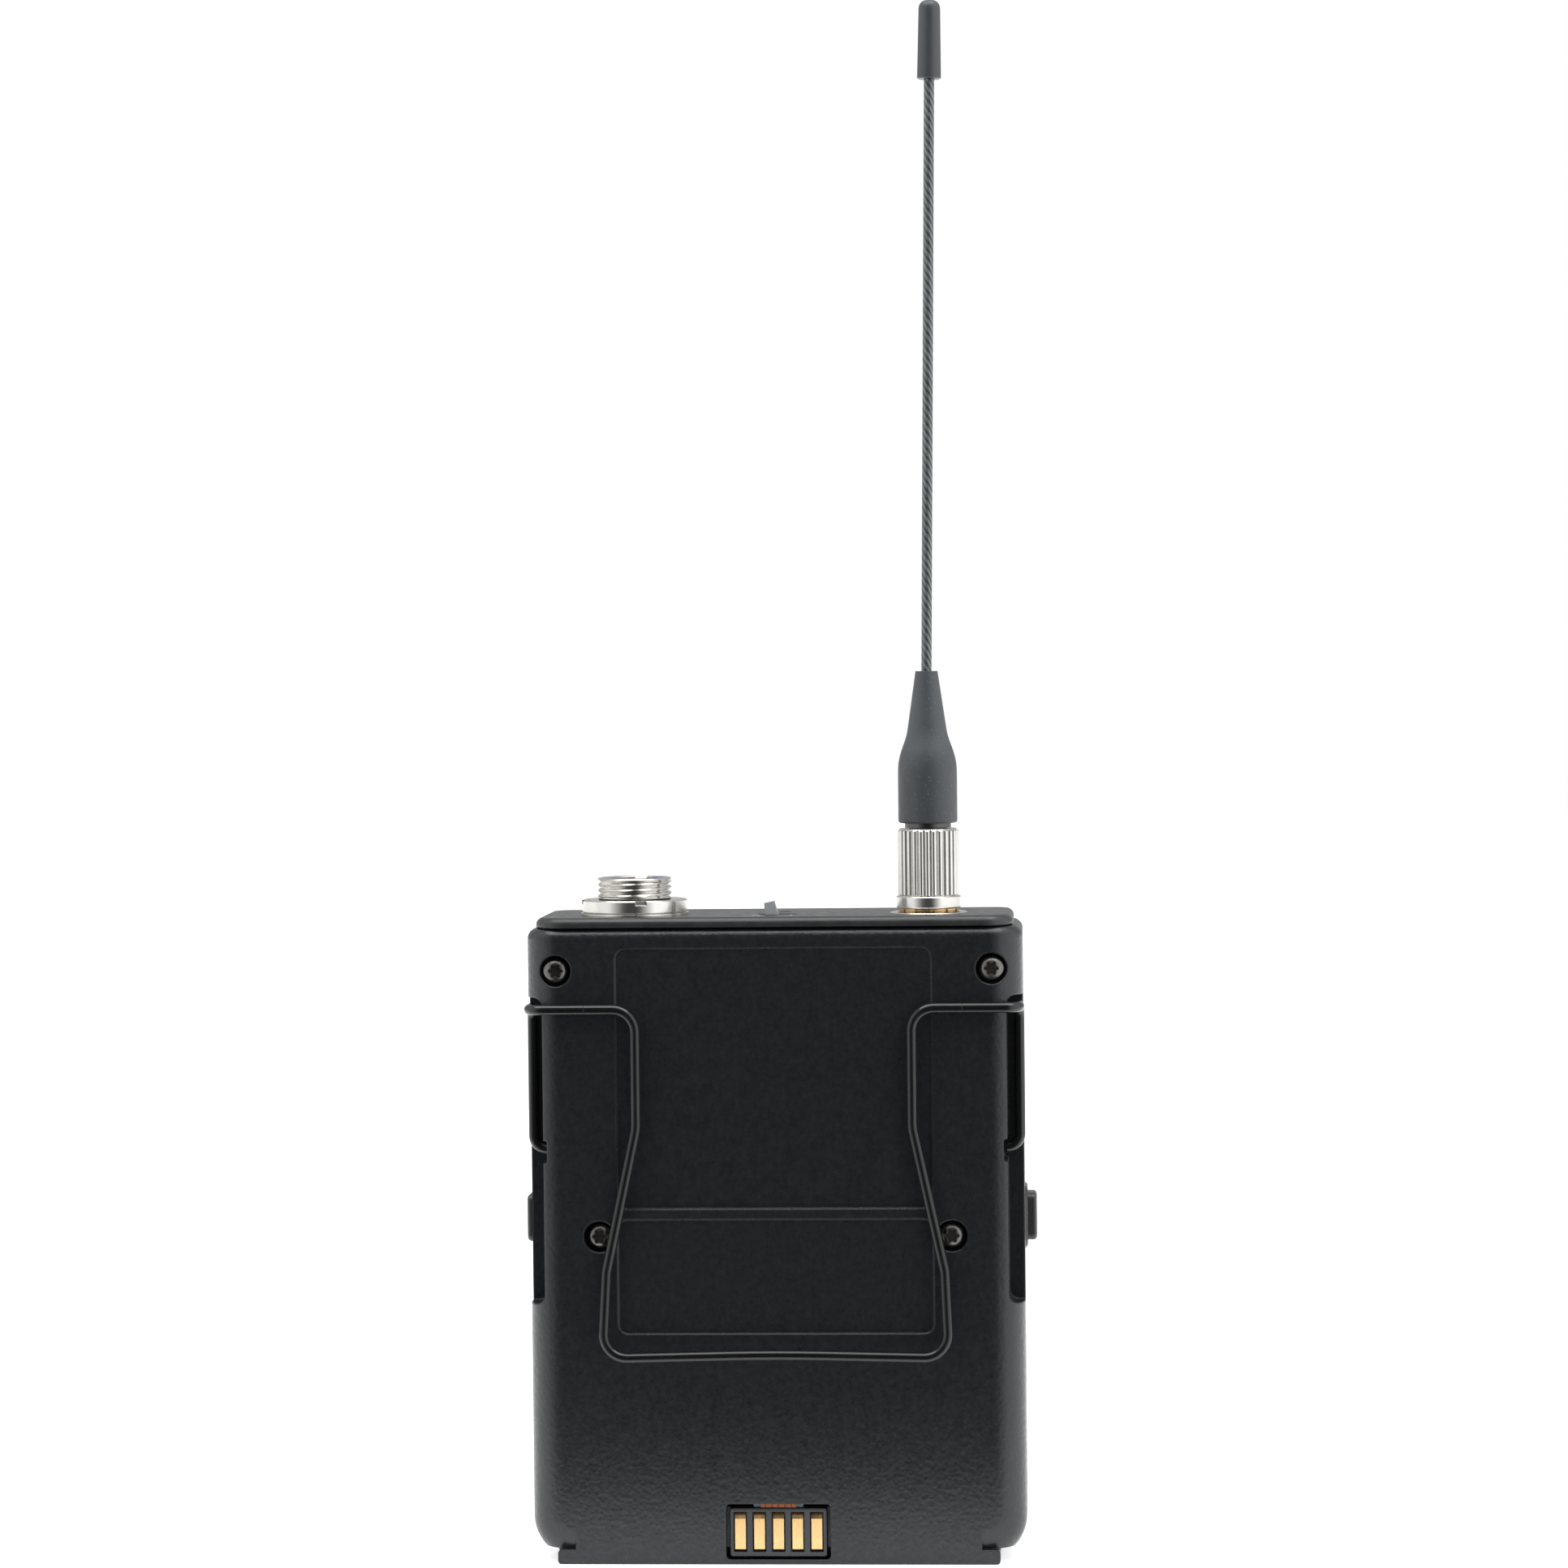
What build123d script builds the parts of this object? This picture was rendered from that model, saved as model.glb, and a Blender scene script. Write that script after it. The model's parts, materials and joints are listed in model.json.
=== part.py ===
"""Wireless body-pack transmitter with a wire belt clip and a screw-on whip antenna.

Millimetres, +Z up. The back, with the belt clip, faces -Y. The front, with the display and
the battery door, faces +Y. The origin is the middle of the flat bottom.
"""
import os
from math import cos, radians, sin, tan

from build123d import *

os.makedirs("parts", exist_ok=True)

# ---------------------------------------------------------------- driving dimensions
BODY_W = 66.0
BODY_H = 86.0
BODY_D = 23.0
HALF_W = BODY_W / 2
BACK_Y = -BODY_D / 2
FRONT_Y = BODY_D / 2
SPLIT_Y = 0.5              # parting plane between the two shells
WALL = 1.5
BACK_EDGE_R = 4.5          # upright edges at the back
FRONT_EDGE_R = 3.0         # upright edges at the front
TOP_EDGE_R = 1.45          # edges of both shells under the top plate
CAP_Z = 84.6               # seam under the top plate
SEAM = 0.12                # width of the visible shadow lines between parts

# Lower corners of the case, seen from the back
CORNER_Z = 6.0             # the sides start to round in below this
CORNER_R = 6.0
SHOULDER_Z = 1.95
LIP_X = 29.4               # half width of the lip that the pack stands on

# Inside of the shells
BACK_CAVITY_X = 29.4       # half width behind the clip channels
CAVITY_X = HALF_W - WALL
CAVITY_STEP_Y = -4.4       # the cavity widens in front of this
FLOOR_Z = 2.0

# Belt clip: one spring wire, bent
WIRE_D = 1.4
WIRE_R = WIRE_D / 2
CLIP_Z = 54.9              # pivot holes of the clip, middle of the side channels
CLIP_Y = -6.6
ARM_X = 32.5               # wire centre of the side arms
BAR_Z = 73.9               # upper bars across the back
BAR_Y = BACK_Y - 0.85
WIRE_SPLIT_X = 25.0        # the loop turns against the arms here
CHANNEL_FLOOR_X = 30.8
CHANNEL_FRONT_Y = -5.4
CHANNEL_Z0 = 34.5
CHANNEL_Z1 = 75.4

# Case screws, from the back
SCREW_HEAD_R = 1.85
SCREW_BORE_R = 2.08
SCREW_SINK = 1.4           # depth of the counterbores
SCREW_SHANK_R = 1.1
UPPER_SCREW = (28.9, 79.0)
LOWER_SCREW = (23.4, 43.65)

# Top plate furniture
INPUT_X = -19.0
SMA_X = 20.5
SOCKET_Y = -2.5
LEVER_X = 0.3
LEVER_Y = -4.0
LEVER_Z = 82.0
LEVER_TILT = 11.0
LIGHT_X = 1.0
LIGHT_Y = 1.5

# Battery door, hinged on its lower edge
DOOR_X = 29.0
DOOR_GAP = 0.15
DOOR_T = 1.5
HINGE_Y = 9.7
HINGE_Z = 4.8
KNUCKLE_R = 1.7
PIN_R = 0.75
DOOR_TOP = 48.8

# Latch buttons in the sides
LATCH_Z = 44.5
LATCH_Y = 4.5
LATCH_OUT = 34.6

# Charge contacts in the back, at the bottom
CHARGE_Z = 4.35
CONTACT_PITCH = 2.54

# Antenna
THREAD_R = 3.175           # quarter-inch thread of the antenna socket
FIT = 0.05                 # radial play of a running fit
NUT_Z0 = 86.7
NUT_COLLAR_Z = 88.25
NUT_TOP = 97.3
BOOT_Z0 = 98.0
BOOT_TOP = 118.3
WHIP_R = 0.7
WHIP_TOP = 197.2
TIP_TOP = 207.7
WHIP_LEAN = 0.8            # degrees, towards +X
FLEX_Z = 130.0             # the whip bends about here


def save(piece, label):
    """Label a finished piece and write it as its own STEP file."""
    piece.label = label
    export_step(piece, f"parts/{label}.step")


def facing_back(y):
    """Sketch plane across the case at this y: local x is +X, local y is +Z, normal -Y."""
    return Plane.XZ.offset(-y)


def facing_side(x):
    """Sketch plane along the case at this x: local x is +Y, local y is +Z, normal +X."""
    return Plane.YZ.offset(x)


def socket_plane(x):
    """Sketch plane for turned pieces of the socket at x: local x is the radius, local y is z."""
    return Plane(origin=(x, SOCKET_Y, 0), x_dir=(1, 0, 0), z_dir=(0, -1, 0))


def socket_axis(x):
    """Upright axis of the socket at x."""
    return Axis((x, SOCKET_Y, 0), (0, 0, 1))


def whip_x(z):
    """X of the whip's centre line at this height."""
    return SMA_X + (z - BOOT_TOP) * tan(radians(WHIP_LEAN))


def wire_along(points, radii, start_dir):
    """Round wire swept along straight runs joined by tangent arcs."""
    with BuildPart() as wire:
        with BuildLine() as path:
            FilletPolyline(*points, radius=radii)
        with BuildSketch(Plane(origin=points[0], z_dir=start_dir)):
            Circle(WIRE_R)
        sweep(path=path.line)
    return wire.part


def case_block(y_back, y_front, edge_r):
    """Outer shape of one shell: upright edges rounded on the outside, lower corners round."""
    outer_y = y_back if abs(y_back) > abs(y_front) else y_front
    middle_y = (y_back + y_front) / 2
    end_x = HALF_W - CORNER_R
    with BuildPart() as block:
        with BuildSketch(Plane.XY.offset(CORNER_Z)) as plan:
            with Locations((0, middle_y)):
                Rectangle(BODY_W, y_front - y_back)
            fillet(plan.vertices().filter_by(lambda v: abs(v.Y - outer_y) < 0.1), edge_r)
        extrude(amount=CAP_Z - CORNER_Z)
        with BuildSketch(Plane.XY.offset(CORNER_Z)):
            with Locations((0, middle_y)):
                Rectangle(2 * end_x, y_front - y_back)
        extrude(amount=-CORNER_Z)
        for side in (1, -1):
            with BuildSketch(Plane.XY.offset(CORNER_Z)):
                add(plan.sketch_local)
                with Locations((-side * CORNER_R, middle_y)):
                    Rectangle(BODY_W, y_front - y_back, mode=Mode.SUBTRACT)
            corner_axis = Axis((side * end_x, 0, CORNER_Z), (0, side, 0))
            revolve(axis=corner_axis, revolution_arc=90)
    return block.part


# ---------------------------------------------------------------- rear shell
rear_block = case_block(BACK_Y, SPLIT_Y, BACK_EDGE_R)

with BuildPart() as rear_shell:
    add(rear_block)
    # Shoulders beside the lip that the pack stands on
    with BuildSketch(facing_back(SPLIT_Y)):
        with Locations((LIP_X + 3, SHOULDER_Z / 2), (-LIP_X - 3, SHOULDER_Z / 2)):
            Rectangle(6, SHOULDER_Z)
    extrude(amount=SPLIT_Y - BACK_Y, mode=Mode.SUBTRACT)
    with BuildSketch(facing_back(SPLIT_Y)) as lip:
        with Locations((0, SHOULDER_Z / 2)):
            Rectangle(2 * LIP_X, SHOULDER_Z)
        fillet(lip.vertices().group_by(Axis.Z)[0], 0.5)
    extrude(amount=SPLIT_Y - BACK_Y)
    top_edges = rear_shell.faces().sort_by(Axis.Z)[-1].edges()
    fillet(top_edges.filter_by(lambda e: abs(e.center().Y - SPLIT_Y) > 0.1), TOP_EDGE_R)
    # Hollow inside, in two steps: narrow behind the clip channels, wide in front of them
    with BuildSketch(facing_back(CAVITY_STEP_Y)):
        with Locations((0, (FLOOR_Z + BODY_H) / 2)):
            Rectangle(2 * BACK_CAVITY_X, BODY_H - FLOOR_Z)
    extrude(amount=CAVITY_STEP_Y - BACK_Y - WALL, mode=Mode.SUBTRACT)
    with BuildSketch(facing_back(SPLIT_Y)):
        with Locations((0, (CORNER_Z + BODY_H) / 2)):
            Rectangle(2 * CAVITY_X, BODY_H - CORNER_Z)
        with Locations((0, (FLOOR_Z + CORNER_Z) / 2)):
            Rectangle(2 * BACK_CAVITY_X, CORNER_Z - FLOOR_Z)
    extrude(amount=SPLIT_Y - CAVITY_STEP_Y, mode=Mode.SUBTRACT)
    # Bosses for the case screws and the ends of the clip wire
    with BuildSketch(facing_back(CAVITY_STEP_Y)):
        with Locations((UPPER_SCREW[0], UPPER_SCREW[1]), (-UPPER_SCREW[0], UPPER_SCREW[1])):
            Circle(2.55)
    extrude(amount=CAVITY_STEP_Y - BACK_Y - WALL)
    with BuildSketch(facing_back(-8.0)):
        with Locations((LOWER_SCREW[0], LOWER_SCREW[1]), (-LOWER_SCREW[0], LOWER_SCREW[1])):
            Circle(2.8)
    extrude(amount=2.0)
    with BuildSketch(facing_back(-4.9)):
        with Locations((28.7, CLIP_Z), (-28.7, CLIP_Z)):
            Rectangle(1.8, 4.2)
    extrude(amount=3.6)
    # Channels for the clip's side arms, open at the side and the back
    for side in (1, -1):
        with BuildSketch(facing_back(CHANNEL_FRONT_Y)):
            with Locations((side * (CHANNEL_FLOOR_X + 2), (CHANNEL_Z0 + CHANNEL_Z1) / 2)):
                RectangleRounded(4.0, CHANNEL_Z1 - CHANNEL_Z0, 1.3)
        extrude(amount=10.0, mode=Mode.SUBTRACT)
        # relief beside the pivot hole, then the hole itself
        with BuildSketch(facing_back(CHANNEL_FRONT_Y)):
            with Locations((side * (CHANNEL_FLOOR_X + 0.5), CLIP_Z)):
                RectangleRounded(2.0, 3.0, 0.3)
        extrude(amount=10.0, mode=Mode.SUBTRACT)
        with BuildSketch(facing_side(side * 28.0)):
            with Locations((CLIP_Y, CLIP_Z)):
                Circle(WIRE_R + FIT)
        extrude(amount=side * 4.0, mode=Mode.SUBTRACT)
    # Two shallow recesses for labels: the upper one gets deeper towards its lower edge
    recess_slope = radians(0.6)
    upper_recess = Plane(
        origin=(0, BACK_Y + 0.12, 81.9),
        x_dir=(1, 0, 0),
        z_dir=(0, -cos(recess_slope), -sin(recess_slope)),
    )
    with BuildSketch(upper_recess):
        with Locations((0, -17.3)):
            RectangleRounded(41.9, 34.6, 1.4)
    extrude(amount=3.0, mode=Mode.SUBTRACT)
    with BuildSketch(facing_back(BACK_Y + 0.2)):
        with Locations((0, 38.3)):
            RectangleRounded(41.9, 15.2, 1.3)
    extrude(amount=3.0, mode=Mode.SUBTRACT)
    # Counterbored screw holes
    for x, z in (UPPER_SCREW, LOWER_SCREW):
        with BuildSketch(facing_back(BACK_Y + SCREW_SINK)):
            with Locations((x, z), (-x, z)):
                Circle(SCREW_BORE_R)
        extrude(amount=5.0, mode=Mode.SUBTRACT)
        with BuildSketch(facing_back(CAVITY_STEP_Y)):
            with Locations((x, z), (-x, z)):
                Circle(SCREW_SHANK_R + 0.1)
        extrude(amount=10.0, mode=Mode.SUBTRACT)
    # Window for the charge contacts
    with BuildSketch(facing_back(-6.0)):
        with Locations((0, CHARGE_Z)):
            RectangleRounded(13.9, 7.4, 0.6)
    extrude(amount=10.0, mode=Mode.SUBTRACT)
    # relief above it, inside the wall, for the flex
    with BuildSketch(facing_back(-9.9)):
        with Locations((0, 9.8)):
            Rectangle(7.2, 4.2)
    extrude(amount=1.1, mode=Mode.SUBTRACT)
save(rear_shell.part, "rear_shell")

# ---------------------------------------------------------------- front shell
front_block = case_block(SPLIT_Y, FRONT_Y, FRONT_EDGE_R)

with BuildPart() as front_shell:
    add(front_block)
    # Lower corners: a shoulder and a slanted step beside the lip
    with BuildSketch(facing_back(FRONT_Y)):
        for side in (1, -1):
            with BuildLine():
                Polyline(
                    (side * HALF_W, SHOULDER_Z),
                    (side * (LIP_X + 0.9), SHOULDER_Z),
                    (side * LIP_X, SHOULDER_Z - 0.75),
                    (side * (LIP_X - 0.4), 0),
                    (side * HALF_W, 0),
                    close=True,
                )
            make_face()
    extrude(amount=FRONT_Y - SPLIT_Y, mode=Mode.SUBTRACT)
    with BuildSketch(facing_back(FRONT_Y)):
        with Locations((0, SHOULDER_Z / 2)):
            Rectangle(2 * (LIP_X - 0.4), SHOULDER_Z)
    extrude(amount=FRONT_Y - SPLIT_Y)
    front_bottom = front_shell.faces().sort_by(Axis.Z)[0].edges().sort_by(Axis.Y)[-1]
    fillet(front_bottom, 1.0)
    front_top_edges = front_shell.faces().sort_by(Axis.Z)[-1].edges()
    fillet(front_top_edges.filter_by(lambda e: abs(e.center().Y - SPLIT_Y) > 0.1), TOP_EDGE_R)
    # Raised surround of each latch button
    for side in (1, -1):
        with BuildSketch(facing_side(side * HALF_W)):
            with Locations((LATCH_Y, LATCH_Z)):
                RectangleRounded(7.4, 8.6, 1.6)
        extrude(amount=side * 0.35, taper=45)
    # Hollow inside
    with BuildSketch(facing_back(FRONT_Y - WALL)):
        with Locations((0, (CORNER_Z + BODY_H) / 2)):
            RectangleRounded(2 * CAVITY_X, BODY_H - CORNER_Z, 1.0)
        with Locations((0, (FLOOR_Z + CORNER_Z + 2) / 2)):
            Rectangle(2 * BACK_CAVITY_X, CORNER_Z + 2 - FLOOR_Z)
    extrude(amount=FRONT_Y - WALL - SPLIT_Y, mode=Mode.SUBTRACT)
    with BuildSketch(Plane.XY.offset(80)):
        with Locations((0, (SPLIT_Y + FRONT_Y - WALL) / 2)):
            Rectangle(2 * CAVITY_X, FRONT_Y - WALL - SPLIT_Y)
    extrude(amount=10.0, mode=Mode.SUBTRACT)
    # Opening for the battery door, and a round relief for its knuckle
    with BuildSketch(facing_back(FRONT_Y + 1)):
        with Locations((0, (HINGE_Z + DOOR_TOP + DOOR_GAP) / 2)):
            Rectangle(2 * (DOOR_X + DOOR_GAP), DOOR_TOP + DOOR_GAP - HINGE_Z)
    extrude(amount=WALL + 1, mode=Mode.SUBTRACT)
    with BuildSketch(facing_side(-DOOR_X - DOOR_GAP)):
        with Locations((HINGE_Y, HINGE_Z)):
            Circle(KNUCKLE_R + DOOR_GAP)
        with Locations((HINGE_Y + 1.9, HINGE_Z)):
            Rectangle(3.8, 2 * (KNUCKLE_R + DOOR_GAP))
    extrude(amount=2 * (DOOR_X + DOOR_GAP), mode=Mode.SUBTRACT)
    # Ears that carry the hinge pin at its two ends
    for side in (1, -1):
        with BuildSketch(facing_side(side * (DOOR_X + DOOR_GAP))):
            with Locations((HINGE_Y - 1.0, HINGE_Z - 0.6)):
                Rectangle(4.0, 4.4)
        extrude(amount=side * 2.0)
    with BuildSketch(facing_side(-DOOR_X - 1.9)):
        with Locations((HINGE_Y, HINGE_Z)):
            Circle(PIN_R + 0.01)
    extrude(amount=2 * (DOOR_X + 1.9), mode=Mode.SUBTRACT)
    # Pillars that take the upper case screws
    with BuildSketch(facing_back(FRONT_Y - WALL)):
        with Locations((UPPER_SCREW[0], UPPER_SCREW[1]), (-UPPER_SCREW[0], UPPER_SCREW[1])):
            Circle(2.5)
    extrude(amount=FRONT_Y - WALL - CAVITY_STEP_Y)
    with BuildSketch(facing_back(1.0)):
        with Locations((UPPER_SCREW[0], UPPER_SCREW[1]), (-UPPER_SCREW[0], UPPER_SCREW[1])):
            Circle(SCREW_SHANK_R + FIT)
    extrude(amount=10.0, mode=Mode.SUBTRACT)
    # Holes for the latch buttons
    with BuildSketch(facing_side(-HALF_W - 1)):
        with Locations((LATCH_Y, LATCH_Z)):
            RectangleRounded(5.3, 6.7, 1.1)
    extrude(amount=2 * HALF_W + 2, mode=Mode.SUBTRACT)
    # Display window, infrared window and the four keys
    with BuildSketch(facing_back(FRONT_Y + 1)):
        with Locations((0, 68.0)):
            Rectangle(29.0, 13.0)
    extrude(amount=WALL + 1.5, mode=Mode.SUBTRACT)
    with BuildSketch(facing_back(FRONT_Y + 1)):
        with Locations((0, 68.0)):
            RectangleRounded(33.0, 17.0, 1.2)
        with Locations((0, 80.2)):
            SlotOverall(9.0, 3.0)
    extrude(amount=2.0, mode=Mode.SUBTRACT)
    with BuildSketch(facing_back(FRONT_Y + 1)):
        with Locations((0, 80.2)):
            SlotOverall(7.0, 1.8)
        with Locations((-13.5, 54.4), (-4.5, 54.4), (4.5, 54.4), (13.5, 54.4)):
            RectangleRounded(7.2, 4.0, 1.2)
    extrude(amount=3.0, mode=Mode.SUBTRACT)
    # Posts that carry the user-interface board
    with BuildSketch(facing_back(FRONT_Y - WALL)):
        with Locations((-22.5, 52.6), (22.5, 52.6), (-22.5, 80.6), (22.5, 80.6)):
            Circle(1.5)
    extrude(amount=FRONT_Y - WALL - 5.9)
save(front_shell.part, "front_shell")

# ---------------------------------------------------------------- top plate
with BuildPart() as top_plate:
    with BuildSketch(Plane.XY.offset(CAP_Z)) as rim:
        Rectangle(63.6, 22.6)
        fillet(rim.vertices().group_by(Axis.Y)[0], 4.0)
        fillet(rim.vertices().group_by(Axis.Y)[-1], 2.8)
    extrude(amount=BODY_H - CAP_Z)
    fillet(top_plate.faces().sort_by(Axis.Z)[-1].edges(), 1.0)
    # shadow groove over the shells
    with BuildSketch(Plane.XY.offset(CAP_Z)):
        Rectangle(BODY_W, BODY_D)
        offset(rim.sketch_local, amount=-0.5, mode=Mode.SUBTRACT)
    extrude(amount=SEAM, mode=Mode.SUBTRACT)
    # tongue that locates the plate inside the shells
    with BuildSketch(Plane.XY.offset(CAP_Z)):
        RectangleRounded(58.2, 19.4, 2.0)
    extrude(amount=-1.2)
    # holes for the sockets, the lever and the status light
    with BuildSketch(Plane.XY.offset(BODY_H + 1)):
        with Locations((INPUT_X, SOCKET_Y)):
            Circle(5.1)
        with Locations((SMA_X, SOCKET_Y)):
            Circle(THREAD_R + 0.1)
        with Locations((LEVER_X, LEVER_Y)):
            SlotOverall(5.4, 1.9)
        with Locations((LIGHT_X, LIGHT_Y)):
            Circle(0.9)
    extrude(amount=-6.0, mode=Mode.SUBTRACT)
save(top_plate.part, "top_plate")

# ---------------------------------------------------------------- case screws
with BuildPart() as screw:
    with BuildSketch(Plane.XZ):
        with BuildLine():
            Polyline((0, 1.2), (0, -8.2), (SCREW_SHANK_R, -8.2), (SCREW_SHANK_R, 0), (SCREW_HEAD_R, 0))
            Line((SCREW_HEAD_R, 0), (SCREW_HEAD_R, 0.35))
            ThreePointArc((SCREW_HEAD_R, 0.35), (1.25, 0.98), (0, 1.2))
        make_face()
    revolve(axis=Axis.Z)
    # six-lobe socket
    with BuildSketch(Plane.XY.offset(1.3)):
        Circle(0.74)
        with PolarLocations(0.76, 6):
            Circle(0.24)
    extrude(amount=-0.95, mode=Mode.SUBTRACT)

seat_y = BACK_Y + SCREW_SINK
with BuildPart() as case_screws:
    for x, z in (UPPER_SCREW, LOWER_SCREW):
        for side in (1, -1):
            with Locations(Location((side * x, seat_y, z), (90, 0, 0))):
                add(screw.part)
save(case_screws.part, "case_screws")

# ---------------------------------------------------------------- input connector
with BuildPart() as input_barrel:
    with BuildSketch(socket_plane(INPUT_X)):
        with BuildLine():
            Polyline(
                (4.2, 74.0), (4.9, 74.0), (4.9, 81.9), (6.3, 81.9), (6.3, 83.4), (4.9, 83.4),
                (4.9, 87.6), (4.7, 87.6), (4.7, 88.25), (5.0, 88.25), (5.0, 90.8), (4.75, 91.05), (4.2, 91.05),
                close=True,
            )
        make_face()
    revolve(axis=socket_axis(INPUT_X))
    # keyway in the rim, at the back
    with BuildSketch(Plane.XY.offset(91.05)):
        with Locations((INPUT_X + 0.4, SOCKET_Y - 4.6)):
            Rectangle(1.9, 2.0)
    extrude(amount=-0.5, mode=Mode.SUBTRACT)
save(input_barrel.part, "input_barrel")

with BuildPart() as input_ring_nut:
    with BuildSketch(socket_plane(INPUT_X)):
        with BuildLine():
            Polyline(
                (4.92, 86.3), (6.9, 86.3), (7.1, 86.5), (7.1, 87.95), (6.95, 88.1), (4.92, 88.1),
                close=True,
            )
        make_face()
    revolve(axis=socket_axis(INPUT_X))
    with BuildSketch(Plane.XY.offset(88.1)):
        with Locations((INPUT_X, SOCKET_Y)):
            with PolarLocations(6.9, 4, start_angle=12):
                Rectangle(1.6, 1.5)
    extrude(amount=-0.6, mode=Mode.SUBTRACT)
save(input_ring_nut.part, "input_ring_nut")

with BuildPart() as input_washer:
    with BuildSketch(Plane.XY.offset(BODY_H)):
        with Locations((INPUT_X, SOCKET_Y)):
            Circle(7.25)
            Circle(5.1, mode=Mode.SUBTRACT)
    extrude(amount=0.3)
save(input_washer.part, "input_washer")

PIN_CIRCLE_R = 1.9
with BuildPart() as input_insulator:
    with BuildSketch(Plane.XY.offset(74.5)):
        with Locations((INPUT_X, SOCKET_Y)):
            Circle(4.19)
            with PolarLocations(PIN_CIRCLE_R, 4, start_angle=45):
                Circle(0.5, mode=Mode.SUBTRACT)
    extrude(amount=10.0)
    # raised key against the wall of the barrel
    key_angles = (radians(22), radians(51))
    key_ends = [(9 * cos(angle), 9 * sin(angle)) for angle in key_angles]
    with BuildSketch(Plane(origin=(INPUT_X, SOCKET_Y, 84.5))):
        with BuildLine():
            Polyline((0, 0), key_ends[0], key_ends[1], close=True)
        make_face()
        Circle(4.19, mode=Mode.INTERSECT)
        Circle(3.35, mode=Mode.SUBTRACT)
    extrude(amount=6.4)
save(input_insulator.part, "input_insulator")

with BuildPart() as input_pins:
    with BuildSketch(Plane.XY.offset(72.0)):
        with Locations((INPUT_X, SOCKET_Y)):
            with PolarLocations(PIN_CIRCLE_R, 4, start_angle=45):
                Circle(0.5)
    extrude(amount=16.0)
    fillet(input_pins.faces().group_by(Axis.Z)[-1].edges(), 0.4)
save(input_pins.part, "input_pins")

# ---------------------------------------------------------------- antenna socket
with BuildPart() as sma_jack_body:
    with BuildSketch(socket_plane(SMA_X)):
        with BuildLine():
            Polyline(
                (2.05, 80.0), (THREAD_R, 80.0), (THREAD_R, 81.6), (4.4, 81.6), (4.4, 83.4),
                (THREAD_R, 83.4), (THREAD_R, 91.8), (THREAD_R - 0.2, 92.0), (2.05, 92.0),
                close=True,
            )
        make_face()
    revolve(axis=socket_axis(SMA_X))
save(sma_jack_body.part, "sma_jack_body")

with BuildPart() as sma_jack_insulator:
    with BuildSketch(Plane.XY.offset(80.0)):
        with Locations((SMA_X, SOCKET_Y)):
            Circle(2.05)
            Circle(0.635, mode=Mode.SUBTRACT)
    extrude(amount=11.9)
save(sma_jack_insulator.part, "sma_jack_insulator")

with BuildPart() as sma_jack_contact:
    with BuildSketch(socket_plane(SMA_X)):
        with BuildLine():
            Polyline(
                (0, 78.0), (0.635, 78.0), (0.635, 91.9), (0.51, 91.9), (0.51, 86.9), (0, 86.9),
                close=True,
            )
        make_face()
    revolve(axis=socket_axis(SMA_X))
save(sma_jack_contact.part, "sma_jack_contact")

with BuildPart() as sma_washer:
    with BuildSketch(socket_plane(SMA_X)):
        with BuildLine():
            Polyline((5.1, 86.1), (5.2, BODY_H), (THREAD_R + 0.1, BODY_H), (THREAD_R + 0.1, 86.3))
            ThreePointArc((THREAD_R + 0.1, 86.3), (4.35, 86.24), (5.1, 86.1))
        make_face()
    revolve(axis=socket_axis(SMA_X))
save(sma_washer.part, "sma_washer")

with BuildPart() as sma_lock_nut:
    with BuildSketch(Plane.XY.offset(86.32)):
        with Locations((SMA_X, SOCKET_Y)):
            Circle(3.95)
            Circle(THREAD_R + 0.02, mode=Mode.SUBTRACT)
            with PolarLocations(3.95, 12, start_angle=8):
                Circle(0.28, mode=Mode.SUBTRACT)
    extrude(amount=0.28)
save(sma_lock_nut.part, "sma_lock_nut")

# ---------------------------------------------------------------- antenna
RIBS = 28
RIB_R = 0.40
RIB_CENTRE_R = 3.72
GROOVE_R = 3.87
with BuildPart() as antenna_grip_nut:
    with BuildSketch(Plane.XY.offset(NUT_COLLAR_Z)):
        with Locations((SMA_X, SOCKET_Y)):
            Circle(GROOVE_R)
            with PolarLocations(RIB_CENTRE_R, RIBS):
                Circle(RIB_R)
    extrude(amount=NUT_TOP - NUT_COLLAR_Z)
    # bevel both ends of the ribs
    with BuildSketch(socket_plane(SMA_X)):
        with BuildLine():
            Polyline((3.75, NUT_TOP), (4.3, NUT_TOP), (4.3, NUT_TOP - 0.55), close=True)
        make_face()
        with BuildLine():
            Polyline(
                (3.9, NUT_COLLAR_Z), (4.3, NUT_COLLAR_Z), (4.3, NUT_COLLAR_Z + 0.4), close=True
            )
        make_face()
    revolve(axis=socket_axis(SMA_X), mode=Mode.SUBTRACT)
    with BuildSketch(socket_plane(SMA_X)):
        with BuildLine():
            Polyline(
                (0, NUT_Z0), (4.25, NUT_Z0), (4.375, NUT_Z0 + 0.12),
                (4.375, NUT_COLLAR_Z - 0.12), (4.25, NUT_COLLAR_Z), (0, NUT_COLLAR_Z),
                close=True,
            )
        make_face()
    revolve(axis=socket_axis(SMA_X))
    # threaded bore, and the narrower hole that holds the antenna's core
    with BuildSketch(Plane.XY.offset(NUT_Z0)):
        with Locations((SMA_X, SOCKET_Y)):
            Circle(THREAD_R + FIT)
    extrude(amount=7.0, mode=Mode.SUBTRACT)
    with BuildSketch(Plane.XY.offset(NUT_Z0)):
        with Locations((SMA_X, SOCKET_Y)):
            Circle(2.5)
    extrude(amount=NUT_TOP - NUT_Z0, mode=Mode.SUBTRACT)
save(antenna_grip_nut.part, "antenna_grip_nut")

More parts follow.
